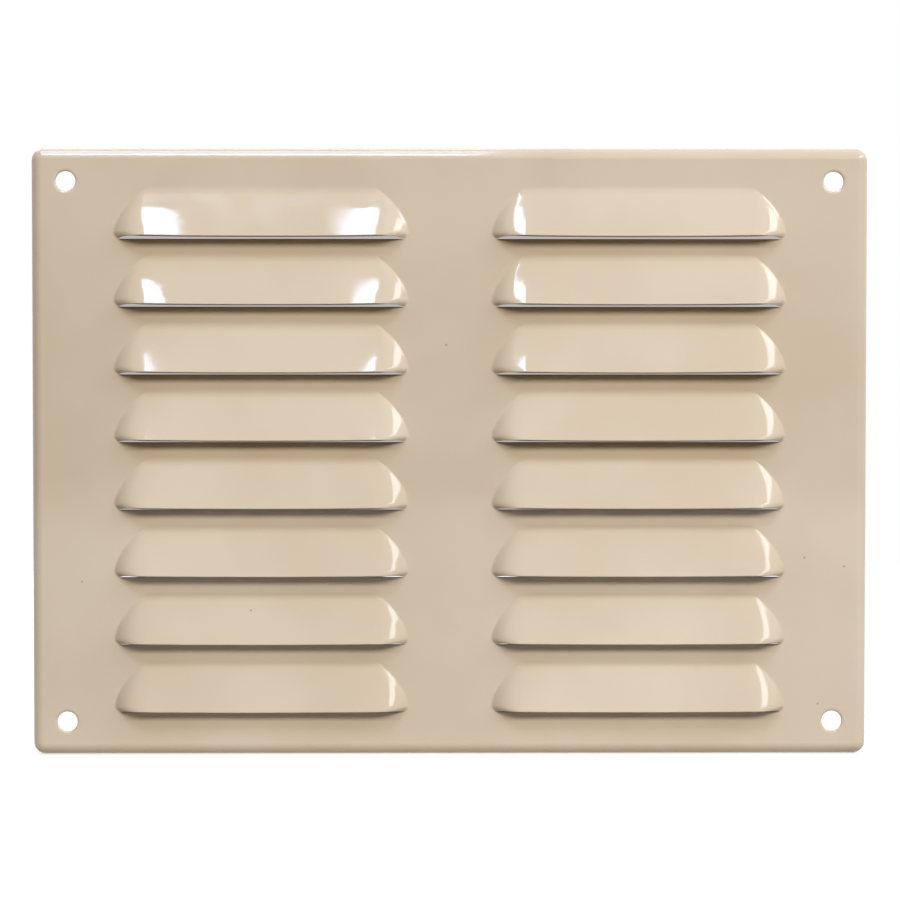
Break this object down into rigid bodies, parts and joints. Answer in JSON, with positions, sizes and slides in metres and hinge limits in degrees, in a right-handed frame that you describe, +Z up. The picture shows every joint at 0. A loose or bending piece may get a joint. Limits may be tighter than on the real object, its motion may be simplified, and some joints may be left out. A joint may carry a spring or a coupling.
{
  "type": "ventilation grille",
  "caption": "Pressed steel wall ventilation grille: a shallow enamelled tray with two columns of downward louvres and a fixing hole in each corner.",
  "frame": {"origin": "middle of the four fixing holes, on the flat front face of the sheet", "axes": "+X along the width, +Z up, front and louvres towards -Y, folded rim and wall towards +Y"},
  "size_m": [0.235, 0.011, 0.1704],
  "materials": {
    "beige_enamel": "glossy baked enamel over sheet steel, light beige, faintly uneven, with a few small dark specks"
  },
  "bodies": {
    "root": {"louvred_plate": "beige_enamel"}
  },
  "joints": []
}
